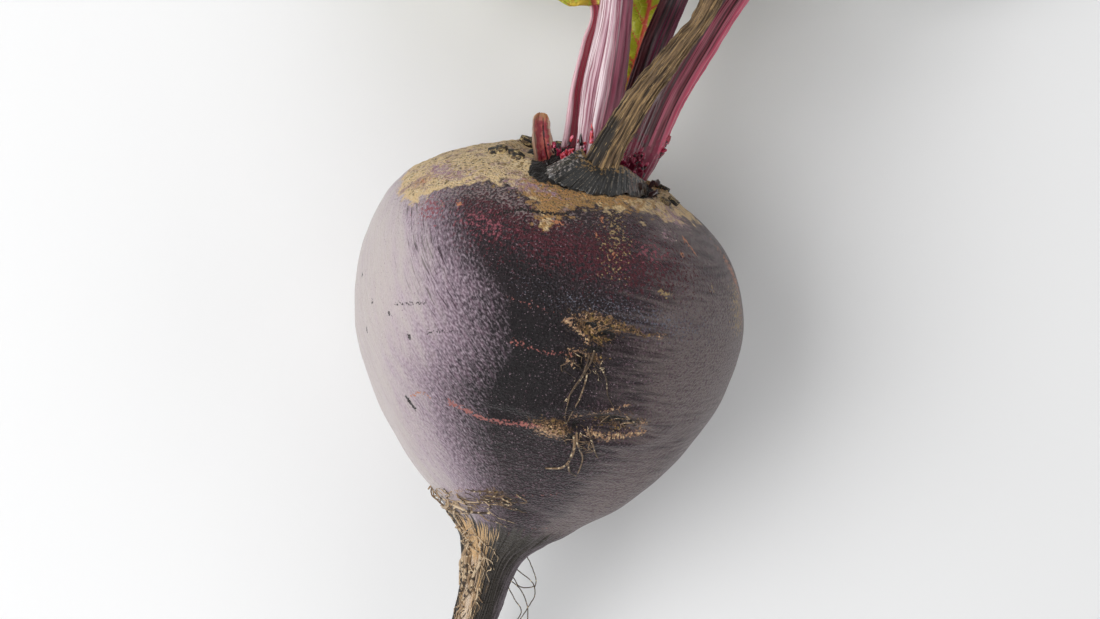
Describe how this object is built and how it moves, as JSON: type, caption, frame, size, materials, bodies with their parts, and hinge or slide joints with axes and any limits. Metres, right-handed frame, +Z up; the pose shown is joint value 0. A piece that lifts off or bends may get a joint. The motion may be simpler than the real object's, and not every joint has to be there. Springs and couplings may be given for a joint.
{
  "type": "beetroot",
  "caption": "Whole beetroot lying on its side, with its tail, side rootlets, scarred crown, ribbed leaf stalks and drooping waved leaves.",
  "frame": {"origin": "point on the small flat spot under the belly of the root, where it rests on a table", "axes": "+Z up, +Y from the tail of the root towards the tips of the leaves, +X to the right as seen from above with the leaves away from the viewer"},
  "size_m": [0.2337, 0.3467, 0.0857],
  "materials": {
    "root_skin": "thin wrinkled root skin with a slight sheen, corky at the crown",
    "leaf_front": "ribbed crimson stalk and green blade with red veins",
    "leaf_right": "ribbed crimson stalk and green blade with red veins",
    "leaf_middle": "ribbed dark purple stalk and green blade with red veins",
    "leaf_left": "slim pink stalk and yellow-green blade",
    "leaf_young": "coral midrib and small crumpled yellow-green blade",
    "buds": "moist crimson scales",
    "cut_stump": "cut stalk, drying at its edge",
    "dried_stalk": "dry fibrous brown stalk"
  },
  "bodies": {
    "root": {"root": "root_skin", "leaf_front": "leaf_front", "leaf_right": "leaf_right", "leaf_middle": "leaf_middle", "leaf_left": "leaf_left", "leaf_young": "leaf_young", "buds": "buds", "cut_stump": "cut_stump", "dried_stalk": "dried_stalk"}
  },
  "joints": []
}
